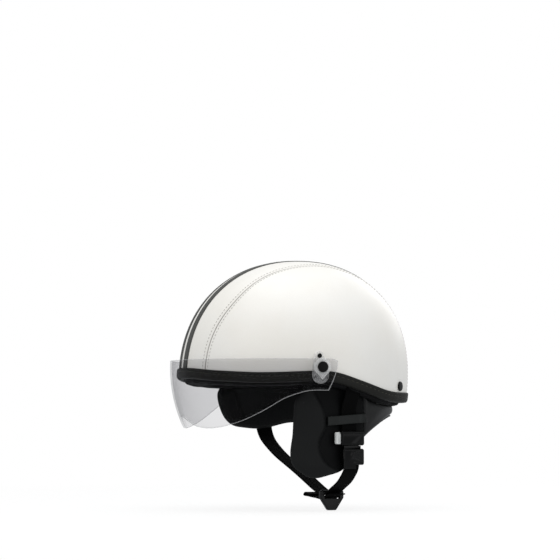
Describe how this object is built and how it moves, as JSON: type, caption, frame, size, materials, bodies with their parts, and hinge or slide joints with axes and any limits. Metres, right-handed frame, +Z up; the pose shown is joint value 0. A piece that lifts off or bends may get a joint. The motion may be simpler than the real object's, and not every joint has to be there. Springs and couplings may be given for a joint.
{
  "type": "half shell motorcycle helmet",
  "caption": "Open half shell helmet covered in white leather with dark stripes, a clear flip-up visor, padded ear flaps and a quick-release chin strap.",
  "frame": {"origin": "on the middle plane, halfway along the shell, level with the top of the front edge trim, inside the head opening", "axes": "+Z up through the crown, the wearer faces -Y, +X to the wearer's left, the side of the buckle"},
  "size_m": [0.249, 0.2806, 0.2871],
  "materials": {
    "moulded_shell": "moulded thermoplastic, hidden under the cover",
    "white_leather": "off-white leather with a fine grain and a soft sheen",
    "stripe_leather": "dark grey leather stripes, fine grain",
    "trim_leather": "black stitched leather edging, soft sheen",
    "flap_leather": "padded charcoal leather, soft folds",
    "keeper_leather": "dark grey leather band, stitched edges",
    "liner_foam": "expanded polystyrene foam, matt",
    "liner_cloth": "black brushed cloth over soft foam",
    "clear_visor": "clear polycarbonate sheet, polished edges",
    "clear_plastic": "clear moulded plastic",
    "button_black": "black, satin gloss",
    "screw_black": "black finished screw",
    "rivet_black": "black enamelled rivet",
    "plain_steel": "plain zinc plated steel",
    "webbing_black": "woven black nylon webbing",
    "buckle_black": "moulded black plastic, fine satin",
    "slider_black": "moulded black plastic, satin gloss",
    "button_grey": "light grey moulded plastic"
  },
  "bodies": {
    "helmet_body": {"shell": "moulded_shell", "centre_band": "white_leather", "left_panel": "white_leather", "right_panel": "white_leather", "stripe_left": "stripe_leather", "stripe_right": "stripe_leather", "edge_trim": "trim_leather", "foam_liner": "liner_foam", "comfort_liner": "liner_cloth", "crown_pad": "liner_cloth", "pivot_base_left": "clear_plastic", "pivot_base_right": "clear_plastic", "pivot_ring_left": "clear_plastic", "pivot_ring_right": "clear_plastic", "snap_button_left": "button_black", "snap_button_right": "button_black", "base_screws": "screw_black", "rear_rivets": "rivet_black", "rivet_washers": "plain_steel", "ear_flap_left": "flap_leather", "ear_flap_right": "flap_leather", "nape_curtain": "flap_leather", "keeper_band": "keeper_leather", "hanger_left": "webbing_black", "hanger_right": "webbing_black", "strap_anchors": "plain_steel", "hanger_rivets": "plain_steel", "buckle_housing": "buckle_black"},
    "visor_body": {"visor": "clear_visor"},
    "release_button_body": {"release_button": "button_grey"},
    "strap_body": {"buckle_tongue": "buckle_black", "chin_strap": "webbing_black", "strap_tail": "webbing_black", "chin_slider": "slider_black"}
  },
  "joints": [
    {"name": "visor_hinge", "type": "hinge", "parent": "helmet_body", "child": "visor_body", "pos_m": [0, -0.0078, -0.0015], "axis": [-1, 0, 0], "range_deg": [0, 75]},
    {"name": "release_press", "type": "slide", "parent": "helmet_body", "child": "release_button_body", "axis": [-0.2059, 0.9786, 0], "range_m": [0, 0.0035], "stiffness_N_per_m": 300, "springref_m": -0.002},
    {"name": "strap_release", "type": "slide", "parent": "helmet_body", "child": "strap_body", "axis": [0, 0, -1], "range_m": [0, 0.022]}
  ]
}
